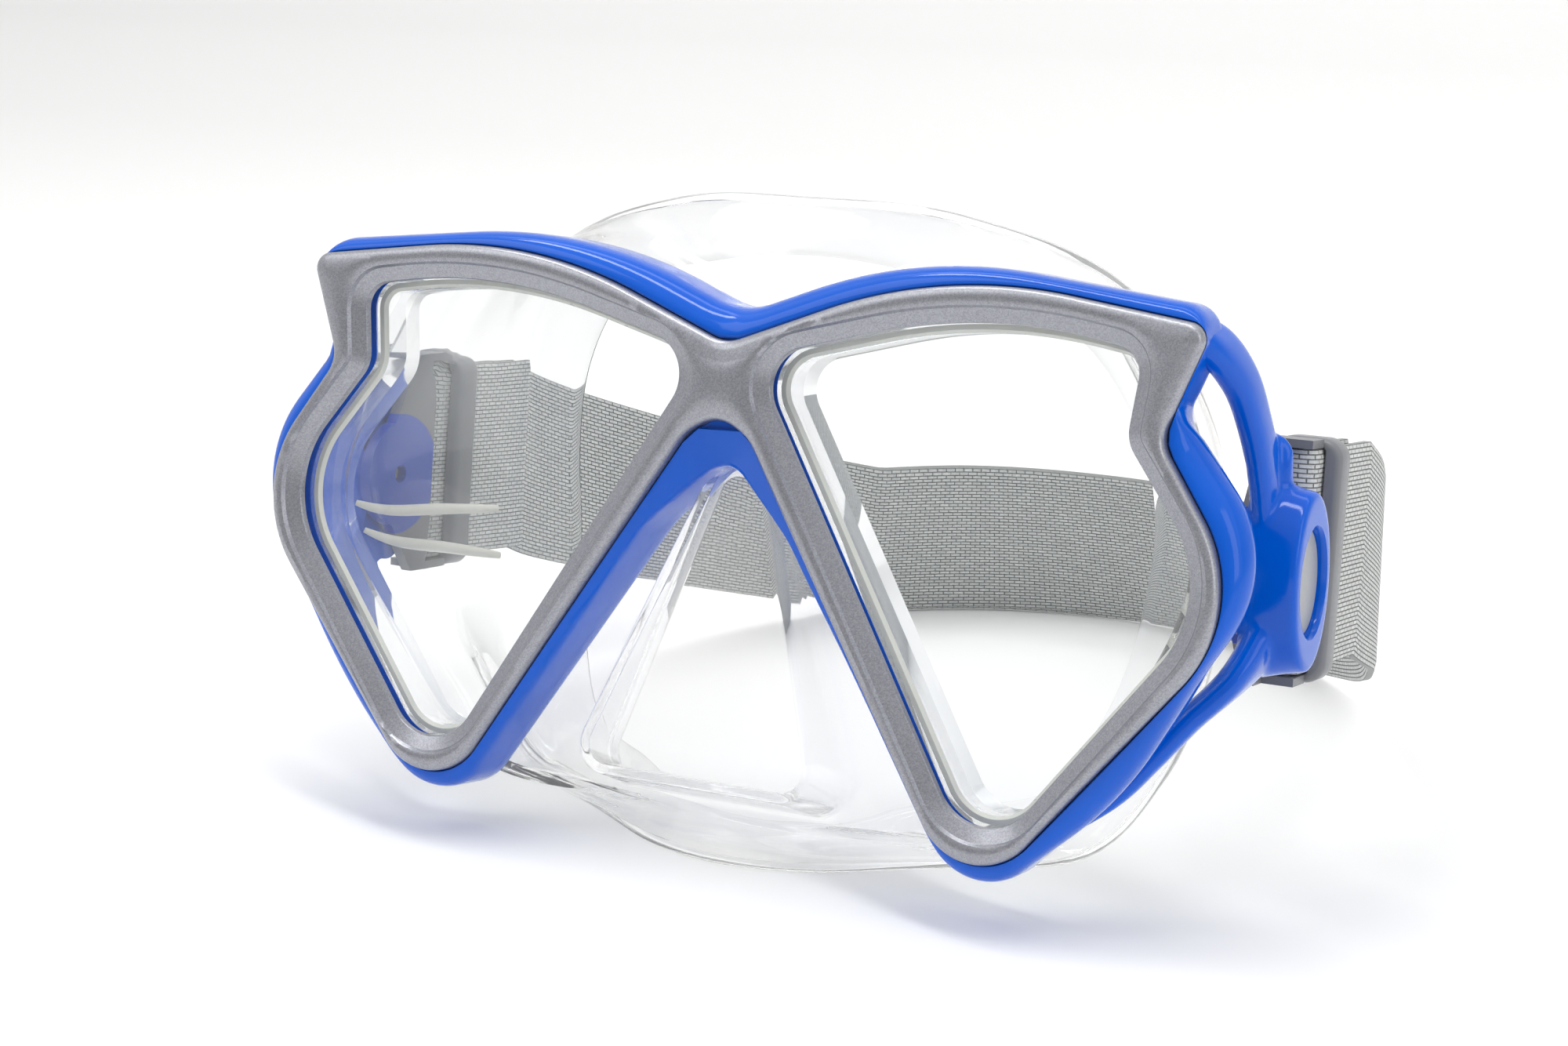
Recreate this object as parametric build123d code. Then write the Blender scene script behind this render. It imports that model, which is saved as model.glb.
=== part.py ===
from build123d import *
import math
import os

# Two-window diving mask, millimetres. +X to the image right, +Y towards the wearer, +Z up.
# The mask stands on the bead under its skirt's chin.
# The origin is in that flat face, on the mirror plane X = 0.

# ---------------------------------------------------------------- driving dimensions
LEAN = 10.33                    # the window plane leans back this many degrees
PLANE_RISE = 57.4               # height at which the window plane crosses Y = 0
LENS_T = 4.0                    # tempered glass
LENS_OVERLAP = 2.3              # glass beyond the visible opening
SEAT_OVERLAP = 3.6              # skirt bead beyond the visible opening
SEAT_LIP = 1.5                  # skirt seat showing inside the visible opening
TUNNEL_WALL = 0.9               # skirt tunnel beyond the visible opening, behind the seat
RING_FRONT, RING_BACK = -2.5, 0.6       # retainer, in depth behind the window plane
RIM_FRONT, RIM_BACK = -0.6, 12.4        # main frame rim, in the same depth
SEAT_BACK = 6.3                 # back face of the skirt's lens seat
TUNNEL_BACK = 12.5              # where the two lens tunnels open into the skirt
SKIRT_T = 1.8
FIT = 0.05                      # running clearance, each side

HUB_Y, HUB_Z = 26.0, 51.0       # strap pivot
HUB_X = 87.0                    # outer face of a hub
STRAP_W, STRAP_T = 34.6, 1.7
STRAP_X = 82.4                  # outer face of the strap where it leaves the buckle
STRAP_DIP = 8.0                 # the strap's first straight run points down this many degrees
STRAP_RISE = 1.5                # the strap's centre line above the pivot
STRAP_BACK_Y = 164.0            # outer face of the strap behind the head
LOOP_TURN_Y = 78.0              # where the strap starts to turn inwards
LOOP = [(72.5, 108), (50, 142)]         # further corners of the loop, as (X, Y)
LOOP_R = [70, 130, 95, 58]      # one radius more, for the corner that starts the run across the back
LOOP_ACROSS = 18.0              # half the length of that run
BAR_R = 1.2                     # steel bar that the strap folds round
BAR_T = 12.6                    # bar behind the pivot
BAR_END = 1.2                   # each end of the bar beyond the strap's edge
TAIL_END = 42.0                 # free end of the folded strap, behind the pivot
KEEPER_T, KEEPER_L = 14.7, 5.6  # front face behind the pivot, and length along the strap

WINDOW = [(4.5, 24.4), (42.0, 34.5), (67.1, 30.5), (65.7, 17.6), (81.5, -3.3), (48.0, -47.7)]
WINDOW_R = [6.4, 84, 4.2, 5.5, 17, 8.5]
RING = [(0, 26.2), (35.7, 40.1), (77.3, 34.8), (71.1, 18.1), (86.9, -4.7), (47.2, -53.7),
        (5.5, 12.3), (0, 15.3)]
RING_R = [7, 80, 2.6, 5, 20, 10, 8, 6]
RIM = [(0, 31.1), (29.3, 42.5), (78.2, 37.4), (72.5, 22.4), (89.0, 1.6), (67.7, -35.2), (46.4, -54.4),
       (12.6, -2.7), (0, 9.1)]
RIM_R = [14, 80, 5, 4, 19, 60, 9, 20, 5]

MASK_PLANE = Plane(
    origin=(0, 0, PLANE_RISE),
    x_dir=(1, 0, 0),
    z_dir=(0, -math.cos(math.radians(LEAN)), math.sin(math.radians(LEAN))),
)


# ---------------------------------------------------------------- helpers
def outline(points, radii):
    """A closed outline of straight runs and tangent arcs, in its own flat coordinates."""
    return make_face(FilletPolyline(*points, radius=radii, close=True))


def both_sides(points, radii):
    """An outline given on the right half, from its top point on X = 0 to its bottom point on X = 0."""
    across = [(-x, y) for x, y in points[-2:0:-1]]
    return outline(points + across, radii + radii[-2:0:-1])


def slab(face, front, back):
    """A flat outline made solid between two depths behind the window plane."""
    placed = MASK_PLANE.offset(-back) * face
    return extrude(placed, amount=back - front, dir=MASK_PLANE.z_dir)


def grown(face, amount):
    return offset(face, amount=amount, kind=Kind.ARC).faces()[0] if amount else face


def mirrored(shape):
    return mirror(shape, about=Plane.YZ)


def x_slab(face, x0, x1):
    """A face drawn in (Y, Z) made solid from x0 to x1."""
    return extrude(Plane(origin=(x0, 0, 0), x_dir=(0, 1, 0), z_dir=(1, 0, 0)) * face, amount=x1 - x0)


def x_rod(radius, x0, x1, y=HUB_Y, z=HUB_Z):
    return x_slab(Pos(y, z) * Circle(radius), x0, x1)


def save(name, shape):
    solids = shape.solids()
    part = solids[0] if len(solids) == 1 else Compound(solids)
    export_step(part, f"parts/{name}.step")
    print(name, len(solids), round(sum(s.volume for s in solids)))


def save_pair(name, shape):
    save(f"{name}_right", shape)
    save(f"{name}_left", mirrored(shape))


# ---------------------------------------------------------------- windows, ring and rim
window = outline(WINDOW, WINDOW_R)
ring_face = both_sides(RING, RING_R)
rim_face = both_sides(RIM, RIM_R)
PEGS = [(73.0, 31.2), (0.0, 20.6)]      # locating pegs on the back of the retainer
PEG_R, PEG_L = 1.5, 4.0


def lenses():
    return slab(grown(window, LENS_OVERLAP), RING_BACK, RING_BACK + LENS_T)


def retainer():
    plate = slab(ring_face, RING_FRONT, RING_BACK)
    front_edge = plate.faces().sort_by(Axis.Y)[0].edges()
    plate = chamfer(front_edge, 0.9)
    for opening in (window, mirrored(window)):
        plate -= slab(opening, RING_FRONT - 1, RING_BACK + 1)
    for x, v in PEGS:
        for side in ((1, -1) if x else (1,)):
            plate += slab(Pos(side * x, v) * Circle(PEG_R), RING_BACK - 0.5, RING_BACK + PEG_L)
    return plate


def rim():
    body = slab(rim_face, RIM_FRONT, RIM_BACK)
    return fillet(body.faces().sort_by(Axis.Y)[-1].edges(), 1.5)


def rim_hollows():
    """The recess for the retainer with its peg holes, and the seats and tunnels of the two windows."""
    hollows = slab(grown(ring_face, FIT), RIM_FRONT - 1, RING_BACK)
    for opening in (window, mirrored(window)):
        hollows += slab(grown(opening, SEAT_OVERLAP + FIT), RIM_FRONT, SEAT_BACK)
        hollows += slab(grown(opening, TUNNEL_WALL + FIT), RIM_FRONT, RIM_BACK + 1)
    for x, v in PEGS:
        for side in ((1, -1) if x else (1,)):
            hollows += slab(Pos(side * x, v) * Circle(PEG_R + FIT), RIM_FRONT, RING_BACK + PEG_L + 0.5)
    return hollows


# ---------------------------------------------------------------- side arms and hubs (right side)
ARM_T = 4.0
ARM_CURVE = [(70, 38), (77.4, 26), (80.7, 12), (80.7, -14), (72.5, -27.5), (59.5, -41.5)]
ARM_CURVE_R = [40, 60, 26, 70]
ARM_SIDE = [(10, 95), (17, 94), (27, 80), (30.5, 68), (33.2, 60), (33.2, 44), (23.5, 38), (8, 9), (0, 9),
            (13, 30), (17.5, 38), (17.5, 57), (20.5, 63), (20, 73), (15, 86), (9, 88)]
ARM_SIDE_R = [0, 6, 14, 10, 5, 10, 14, 3, 0, 8, 6, 3, 3, 14, 4, 0]
POD_SIZE = (17.2, 27.5)
BUTTON_FACE = (12.0, 16.4)
FLANGE = 1.0                    # button flange beyond its face, all round
BUTTON_SINK = 1.3               # button face below the hub's outer face
PLATE_X = (78.6, 80.4)          # hub back plate
BUCKLE_REACH, BUCKLE_AHEAD = 22.3, 5.8  # room for the swinging buckle above, below and ahead of the pivot
BOSS_R = 4.5
BUCKLE_X = (75.4, 77.4)         # buckle plate
POCKET_X = 84.5                 # inner side of the hub's outer wall
FLANGE_X = (POCKET_X - 1.1, POCKET_X - 0.1)
PLATE_EDGE, PLATE_FIT = 1.5, 0.02       # back plate beyond the button's face, and its gap in the hub
STEM_R = 1.4
SPRING_R, WIRE_R, SPRING_TURNS = 2.3, 0.25, 5
LIP_X = (80.5, 81.3)            # snap lip of the buckle's boss


def oval(width, height):
    """An upright oval in (Y, Z), centred on the hub."""
    return Pos(HUB_Y, HUB_Z) * Ellipse(width / 2, height / 2)


def button_oval(margin):
    return oval(BUTTON_FACE[0] + 2 * margin, BUTTON_FACE[1] + 2 * margin)


def arm():
    """The arm that carries a hub: a curved sheet cut to its outline as seen from the side."""
    curve = FilletPolyline(*ARM_CURVE, radius=ARM_CURVE_R)
    band = offset(curve, amount=ARM_T / 2, side=Side.BOTH)
    sheet = slab(make_face(band.edges()), 4, 42)
    side = outline(ARM_SIDE, ARM_SIDE_R)
    return sheet & x_slab(side, 50, 90)


def pod():
    base = Plane(origin=(PLATE_X[0] - 0.3, 0, 0), x_dir=(0, 1, 0), z_dir=(1, 0, 0)) * oval(17.4, 30)
    top = Plane(origin=(HUB_X, 0, 0), x_dir=(0, 1, 0), z_dir=(1, 0, 0)) * oval(*POD_SIZE)
    shape = loft([base, top])
    return fillet(shape.faces().sort_by(Axis.X)[-1].edges(), 0.8)


def fin():
    ridge = outline([(24.5, 62), (29.5, 62), (27.5, 73.5), (25.8, 73.5)], [0, 0, 0.8, 0.8])
    return x_slab(ridge, 79.8, 82.6)


def hub_hollow():
    """Button window, flange pocket and the recess that takes the back plate."""
    hole = x_slab(button_oval(FIT), POCKET_X - 0.5, HUB_X + 1)
    hole += x_slab(button_oval(FLANGE + FIT), PLATE_X[1] - 0.5, POCKET_X)
    hole += x_slab(button_oval(PLATE_EDGE + PLATE_FIT), 70, PLATE_X[1])
    return hole


def main_frame():
    side = arm() + pod() + fin() - hub_hollow()
    room = Pos(HUB_Y - BUCKLE_AHEAD, HUB_Z) * Rectangle(24, 2 * BUCKLE_REACH, align=(Align.MIN, Align.CENTER))
    side -= x_slab(room, 70, PLATE_X[0] - 0.3)
    return rim() + side + mirrored(side) - rim_hollows()


def hub_plate():
    return x_slab(button_oval(PLATE_EDGE), *PLATE_X) - x_rod(BOSS_R + FIT, 70, 90)


def release_button():
    face_x = HUB_X - BUTTON_SINK
    button = x_slab(oval(*BUTTON_FACE), FLANGE_X[1], face_x)
    button = fillet(button.faces().sort_by(Axis.X)[-1].edges(), 0.4)
    return button + x_slab(button_oval(FLANGE), *FLANGE_X) + x_rod(STEM_R, BUCKLE_X[1] - 0.6, FLANGE_X[1])


def button_spring():
    """Coil round the button's stem, from the buckle's plate to the button's flange."""
    start, end = BUCKLE_X[1] + WIRE_R, FLANGE_X[0] - WIRE_R
    helix = Helix(pitch=(end - start) / SPRING_TURNS, height=end - start, radius=SPRING_R)
    section = Plane(origin=helix @ 0, z_dir=helix % 0) * Circle(WIRE_R)
    coil = sweep(section, path=helix, is_frenet=True)
    return Plane(origin=(start, HUB_Y, HUB_Z), x_dir=(0, 1, 0), z_dir=(1, 0, 0)) * coil


# ---------------------------------------------------------------- buckle, bar, keeper and strap
# The strap frame has its origin on the pivot: X across the mask, Y back along the strap, Z across its width
dip = math.radians(STRAP_DIP)
STRAP_PLANE = Plane(origin=(0, HUB_Y, HUB_Z), x_dir=(1, 0, 0), z_dir=(0, math.sin(dip), math.cos(dip)))
TOP, BOTTOM = STRAP_RISE + STRAP_W / 2, STRAP_RISE - STRAP_W / 2
BAR_X = STRAP_X - STRAP_T - BAR_R       # centre of the bar, and of the fold
TAIL_X = STRAP_X - 2 * STRAP_T - 2 * BAR_R      # inner face of the folded tail
CHEEK = 1.3                     # thickness of a buckle's cheek
SIDE_GAP = 0.25                 # between the strap's edge and a cheek
PLATE_END = 9.3                 # rear edge of the buckle's plate, short of the folded strap


def along(x0, x1, t0, t1, s0, s1):
    """A block in the strap frame."""
    block = Pos((x0 + x1) / 2, (t0 + t1) / 2, (s0 + s1) / 2) * Box(x1 - x0, t1 - t0, s1 - s0)
    return STRAP_PLANE * block


def flat_block(x0, x1, t0, t1):
    return Pos((x0 + x1) / 2, (t0 + t1) / 2) * Rectangle(x1 - x0, t1 - t0)


def strap_bar():
    """The steel bar across the strap's width, with both ends in the buckle's cheeks."""
    bar = Cylinder(BAR_R, STRAP_W + 2 * BAR_END, align=(Align.CENTER, Align.CENTER, Align.MIN))
    return STRAP_PLANE * (Pos(BAR_X, BAR_T, BOTTOM - BAR_END) * bar)


def buckle():
    """A disc that snaps into the hub, widening into a plate with a cheek at each edge of the strap."""
    high, low = TOP + SIDE_GAP + CHEEK, BOTTOM - SIDE_GAP - CHEEK
    fan = [(-2, 8.6), (-2, -8.6), (5.0, low), (PLATE_END, low), (PLATE_END, high), (5.0, high)]
    body = x_rod(9.0, *BUCKLE_X) + STRAP_PLANE * x_slab(make_face(Polyline(*fan, close=True)), *BUCKLE_X)
    for s0 in (low, high - CHEEK):
        body += along(BUCKLE_X[0], STRAP_X, PLATE_END - 0.5, BAR_T + BAR_R + 0.6, s0, s0 + CHEEK)
    body += x_rod(BOSS_R, BUCKLE_X[1] - 0.2, LIP_X[1])
    body += x_rod(BOSS_R + 0.7, *LIP_X)
    body -= x_rod(SPRING_R + 0.5, BUCKLE_X[1], LIP_X[1] + 1)
    body -= x_rod(STEM_R + 0.1, BUCKLE_X[0] - 1, BUCKLE_X[1] + 1)
    for turn in (45, 135):
        slot = Box(LIP_X[1] - BUCKLE_X[1], 1.0, 14)
        body -= Pos((LIP_X[1] + BUCKLE_X[1]) / 2 + 0.8, HUB_Y, HUB_Z) * Rot(X=turn) * slot
    return body - strap_bar()


def keeper():
    t0, t1 = KEEPER_T, KEEPER_T + KEEPER_L
    s0, s1 = BOTTOM - SIDE_GAP - 1.4, TOP + SIDE_GAP + 1.4
    outer = along(TAIL_X - 2.8, STRAP_X + 2.9, t0, t1, s0, s1)
    outer = fillet(outer.edges().filter_by(Axis((0, 0, 0), STRAP_PLANE.y_dir)), 1.6)
    slots = along(STRAP_X - STRAP_T - 0.2, STRAP_X + 0.2, t0 - 1, t1 + 1, BOTTOM - SIDE_GAP, TOP + SIDE_GAP)
    slots += along(TAIL_X - 0.2, TAIL_X + STRAP_T + 0.2, t0 - 1, t1 + 1, BOTTOM - SIDE_GAP, TOP + SIDE_GAP)
    return outer - slots


def strap_edge(across, y):
    """Height at depth y of a line along the strap's straight run."""
    return HUB_Z + across / math.cos(dip) - (y - HUB_Y) * math.tan(dip)


def strap():
    """One band from fold to fold: a straight run at each hub, and the loop behind the head, on its edge."""
    mid = STRAP_X - STRAP_T / 2
    run_end = TAIL_END + 3
    outside = Pos(BAR_X, BAR_T) * Circle(BAR_R + STRAP_T)
    outside += flat_block(TAIL_X, STRAP_X, BAR_T, TAIL_END) + flat_block(BAR_X, STRAP_X, BAR_T, run_end)
    inside = Pos(BAR_X, BAR_T) * Circle(BAR_R + FIT)
    inside += flat_block(TAIL_X + STRAP_T, STRAP_X - STRAP_T, BAR_T, run_end + 1)
    end = STRAP_PLANE * extrude(Pos(0, 0, BOTTOM) * (outside - inside), amount=STRAP_W)

    y0 = HUB_Y + (run_end - 4) * math.cos(dip)
    back = STRAP_BACK_Y - STRAP_T / 2
    half_path = [(mid, y0), (mid, LOOP_TURN_Y), *LOOP, (LOOP_ACROSS, back)]
    path = FilletPolyline(*half_path, *[(-x, y) for x, y in half_path[::-1]], radius=LOOP_R + LOOP_R[::-1])
    band = make_face(offset(path, amount=STRAP_T / 2, side=Side.BOTH).edges())
    y1, y2 = y0 - 5, y0 + 5
    upper = [(y1, strap_edge(TOP, y1)), (y2, strap_edge(TOP, y2)), (STRAP_BACK_Y + 1, STRAP_W + 0.6)]
    lower = [(STRAP_BACK_Y + 1, 0.6), (y2, strap_edge(BOTTOM, y2)), (y1, strap_edge(BOTTOM, y1))]
    loop = extrude(band, amount=100, dir=(0, 0, 1))
    loop &= x_slab(make_face(Polyline(*upper, *lower, close=True)), -90, 90)
    return end + loop + mirrored(end)


# ---------------------------------------------------------------- skirt
# Ribs of the skirt's wall, by angle round the face: the radius where the wall leaves the front plate, then
# (radius, Y) points for its hip, its fullest part, its rolled rear edge and its inner lip.
# Radii are from an axis along Y at AXIS_Z.
AXIS_Z = 51.0
RIBS = [
    (90, 36, (41, 23.5), (46, 28), (51.5, 33), (42, 35.5)),
    (62, 43, (47, 25), (51, 30), (56, 36), (44.5, 36.5)),
    (36, 68, (66, 24), (65, 34), (64, 43), (52, 45)),
    (20, 72, (69, 22), (68, 35), (65.5, 46), (53.5, 48)),
    (2, 78, (73, 17.5), (70.5, 33), (66, 48), (54, 50)),
    (-12, 71, (69, 17), (69.5, 32), (67, 46), (54.5, 49)),
    (-32, 65, (63, 16), (69.5, 29), (71, 38), (58, 42)),
    (-45, 60, (61, 14), (68, 23), (72.7, 31), (60, 36)),
    (-58, 50, (53, 9), (57, 12.5), (60.7, 17.5), (52, 25)),
    (-74, 45, (47.8, 5), (50, 4.2), (53.6, 6), (48, 15)),
    (-90, 43, (45.5, 3.4), (47.5, 1.6), (51.6, 2.5), (47, 13)),
]
CHIN_BEAD = (26.0, 6.0, 1.8)    # flat bead under the lip, on which the mask stands: width, depth, height
POCKET_REAR = [(8.5, -0.5), (21.5, -45), (-21.5, -45), (-8.5, -0.5)]
POCKET_FRONT = [(7, 0), (18.5, -42), (-18.5, -42), (-7, 0)]
POCKET_R = [5, 7, 7, 5]
POCKET_TOP = (5.5, 57.5)        # (Y, Z) of the pocket front's top edge
POCKET_LEAN = 21.6              # the pocket's front leans back more than the windows


def plane_depth(z, depth):
    """Y of the point at height z that is so deep behind the window plane."""
    lean = math.radians(LEAN)
    return (depth + (z - PLANE_RISE) * math.sin(lean)) / math.cos(lean)


def rib_line(angle, start, hip, full, edge, lip):
    z = AXIS_Z + start * math.sin(math.radians(angle))
    return [(start, plane_depth(z, TUNNEL_BACK)), hip, full, edge, lip]


def rib(line, angle):
    """A rib's cross-section: the line given a wall's thickness on its inner side."""
    c, s = math.cos(math.radians(angle)), math.sin(math.radians(angle))
    place = Plane(origin=(0, 0, AXIS_Z), x_dir=(c, 0, s), z_dir=(-s, 0, c))
    inner = []
    for i, (r, y) in enumerate(line):
        before, after = line[max(i - 1, 0)], line[min(i + 1, len(line) - 1)]
        dr, dy = after[0] - before[0], after[1] - before[1]
        size = math.hypot(dr, dy)
        inner.append((r - dy / size * SKIRT_T, y + dr / size * SKIRT_T))
    return place * make_face(Polyline(*line, *inner[::-1], close=True))


def wall_half():
    return loft([rib(rib_line(*spec), spec[0]) for spec in RIBS], ruled=True)


def front_plate():
    points = []
    for angle, start, *_ in RIBS:
        turn = math.radians(angle)
        z = AXIS_Z + start * math.sin(turn)
        local = MASK_PLANE.to_local_coords(Vector(start * math.cos(turn), plane_depth(z, TUNNEL_BACK), z))
        points.append((local.X, local.Y))
    points += [(-x, v) for x, v in points[-2:0:-1]]
    return slab(make_face(Polyline(*points, close=True)), TUNNEL_BACK, TUNNEL_BACK + SKIRT_T)


def nose_pocket(inset):
    """The pocket's outside, or with an inset its inside."""
    depth = TUNNEL_BACK + SKIRT_T + (2 if inset else 0)
    rear = MASK_PLANE.offset(-depth) * grown(outline(POCKET_REAR, POCKET_R), -inset)
    lean = math.radians(POCKET_LEAN)
    out = (0, -math.cos(lean), math.sin(lean))
    front_plane = Plane(origin=(0, *POCKET_TOP), x_dir=(1, 0, 0), z_dir=out).offset(-inset)
    front = front_plane * grown(outline(POCKET_FRONT, POCKET_R), -inset)
    return loft([rear, front])


def skirt():
    wall = wall_half()
    body = wall + mirrored(wall) + front_plate() + nose_pocket(0)
    body -= nose_pocket(SKIRT_T)
    for opening in (window, mirrored(window)):
        seat = grown(opening, SEAT_OVERLAP)
        inside = grown(opening, -SEAT_LIP)
        body += slab(seat, RING_BACK, SEAT_BACK) + slab(grown(opening, TUNNEL_WALL), SEAT_BACK, TUNNEL_BACK)
        body -= slab(grown(opening, LENS_OVERLAP), RING_BACK - 1, RING_BACK + LENS_T)
        body -= slab(inside, RING_BACK, TUNNEL_BACK + SKIRT_T + 1)
    above = Pos(0, 0, 100) * Box(300, 300, 200)
    bead = Pos(0, 1.4) * Box(*CHIN_BEAD, align=(Align.CENTER, Align.CENTER, Align.MIN))
    return (body & above) + bead


def build_all():
    os.makedirs("parts", exist_ok=True)
    save_pair("lens", lenses())
    save("lens_retainer", retainer())
    save("main_frame", main_frame())
    save_pair("hub_plate", hub_plate())
    save_pair("release_button", release_button())
    save_pair("button_spring", button_spring())
    save_pair("swivel_buckle", buckle())
    save_pair("strap_bar", strap_bar())
    save_pair("strap_keeper", keeper())
    save("strap", strap())
    save("skirt", skirt())


build_all()
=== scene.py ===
import math

import bmesh
import bpy
import numpy as np
from mathutils import Matrix, Vector
from mathutils.geometry import delaunay_2d_cdt


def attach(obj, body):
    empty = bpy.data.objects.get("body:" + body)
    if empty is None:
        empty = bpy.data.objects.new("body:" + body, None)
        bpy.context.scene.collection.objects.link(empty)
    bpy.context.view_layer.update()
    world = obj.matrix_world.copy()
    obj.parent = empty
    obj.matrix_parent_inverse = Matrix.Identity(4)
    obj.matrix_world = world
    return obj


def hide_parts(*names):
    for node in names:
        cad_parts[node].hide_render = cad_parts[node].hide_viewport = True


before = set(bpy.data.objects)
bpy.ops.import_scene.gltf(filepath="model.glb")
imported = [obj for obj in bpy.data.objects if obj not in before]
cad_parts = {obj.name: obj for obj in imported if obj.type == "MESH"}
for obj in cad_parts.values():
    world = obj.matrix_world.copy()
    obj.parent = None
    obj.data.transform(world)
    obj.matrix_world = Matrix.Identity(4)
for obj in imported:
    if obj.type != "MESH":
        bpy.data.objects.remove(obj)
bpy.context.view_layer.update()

# ------------------------------------------------------------------ dimensions, millimetres
# Window-plane coordinates (u, v, w): u across, v up the windows, w depth behind their front plane.
MM = 0.001
LEAN = math.radians(10.33)
PLANE_RISE = 57.4
SIN, COS = math.sin(LEAN), math.cos(LEAN)

WINDOW = [(4.5, 24.4), (42.0, 34.5), (67.1, 30.5), (65.7, 17.6), (81.5, -3.3), (48.0, -47.7)]
WINDOW_R = [6.4, 84, 4.2, 5.5, 17, 8.5]
RING = [(0, 26.2), (35.7, 40.1), (77.3, 34.8), (71.1, 18.1), (86.9, -4.7), (47.2, -53.7),
        (5.5, 12.3), (0, 15.3)]
RING_R = [7, 80, 2.6, 5, 20, 10, 8, 6]
RIM = [(0, 31.1), (29.3, 42.5), (78.2, 37.4), (72.5, 22.4), (89.0, 1.6), (67.7, -35.2), (46.4, -54.4),
       (12.6, -2.7), (0, 9.1)]
RIM_R = [14, 80, 5, 4, 19, 60, 9, 20, 5]
RING_BACK, RING_FRONT = 0.55, -2.5
RING_SWELL = 0.55
RIM_BACK, RIM_SIDE_RISE = 12.4, 4.6
WINDOW_SEAT_OUT, WINDOW_SEAT_DEPTH = 3.65, 4.7

HUB_Y, HUB_Z = 26.0, 51.0
UPPER_ARM = [(70.5, 7.4, 90.4), (74.8, 12.2, 88.0), (77.5, 17.2, 82.2), (79.0, 20.6, 74.5), (79.9, 23.0, 67),
             (80.4, 25.0, 60), (80.6, 26.0, 53)]
LOWER_ARM = [(80.6, 25.6, 48), (80.4, 23.0, 42.5), (78.2, 16.5, 37.3), (73.6, 11.5, 32.0), (69.2, 8.0, 26.2),
             (64.6, 4.4, 20.8), (57.5, -0.2, 15.6)]

SIDES = (("right", 1), ("left", -1))


def place(u, v, w):
    """Window-plane coordinates, in millimetres, to points of the row frame, in millimetres."""
    u, v, w = np.broadcast_arrays(u, v, w)
    return np.stack([u, SIN * v + COS * w, PLANE_RISE + COS * v - SIN * w], -1).astype(float)


# ------------------------------------------------------------------ outlines
def unit(a):
    """Vectors along the last axis, scaled to length one."""
    return a / np.maximum(np.linalg.norm(a, axis=-1, keepdims=True), 1e-9)


def rounded(points, radii, step=0.7, closed=True):
    """Points along a polygon whose corners are arcs, evenly spaced."""
    pts = [np.array(p, float) for p in points]
    out = [] if closed else [pts[0][None]]
    corners = range(len(pts)) if closed else range(1, len(pts) - 1)
    for i in corners:
        p = pts[i]
        da, db = unit(pts[i - 1] - p), unit(pts[(i + 1) % len(pts)] - p)
        r = radii[i] if closed else radii[i - 1]
        half = math.acos(np.clip(da @ db, -1, 1)) / 2
        centre = p + unit(da + db) * r / math.sin(half)
        first = p + da * r / math.tan(half) - centre
        last = p + db * r / math.tan(half) - centre
        start = math.atan2(first[1], first[0])
        turn = (math.atan2(last[1], last[0]) - start + math.pi) % (2 * math.pi) - math.pi
        a = start + turn * np.linspace(0, 1, max(3, int(abs(turn) * r / step * 2)))
        out.append(centre + r * np.stack([np.cos(a), np.sin(a)], -1))
    if not closed:
        out.append(pts[-1][None])
    return resample(np.concatenate(out), step, closed)


def resample(line, step, closed=True):
    """Points about a step apart along a line."""
    if closed:
        line = np.concatenate([line, line[:1]])
    run = np.concatenate([[0], np.cumsum(np.linalg.norm(np.diff(line, axis=0), axis=1))])
    count = max(3, round(run[-1] / step))
    at = np.linspace(0, run[-1], count + 1)
    at = at[:-1] if closed else at
    return np.stack([np.interp(at, run, line[:, k]) for k in range(line.shape[1])], -1)


def counter_clockwise(loop):
    """The loop, turned round if it runs clockwise."""
    x, y = loop.T
    area = np.sum(x * np.roll(y, -1) - y * np.roll(x, -1))
    return loop if area > 0 else loop[::-1]


def both_sides(points, radii, step=0.7):
    """A closed outline from its right half, whose first and last points lie on the middle plane."""
    across = [(-x, y) for x, y in points[-2:0:-1]]
    return counter_clockwise(rounded(points + across, radii + radii[-2:0:-1], step))


def outward(loop):
    """The outward direction at each point of a counter-clockwise loop."""
    t = unit(np.roll(loop, -1, 0) - np.roll(loop, 1, 0))
    return np.stack([t[:, 1], -t[:, 0]], -1)


def moved(loop, amount):
    """The loop moved outwards; amount is one number, or one for each point."""
    return loop + outward(loop) * np.broadcast_to(np.asarray(amount, float), len(loop))[:, None]


WINDOW_LOOP = counter_clockwise(rounded(WINDOW, WINDOW_R))
WINDOW_LOOPS = [WINDOW_LOOP, counter_clockwise(WINDOW_LOOP * (-1, 1))]
RING_LOOP = both_sides(RING, RING_R)
RIM_LOOP = both_sides(RIM, RIM_R)


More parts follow.
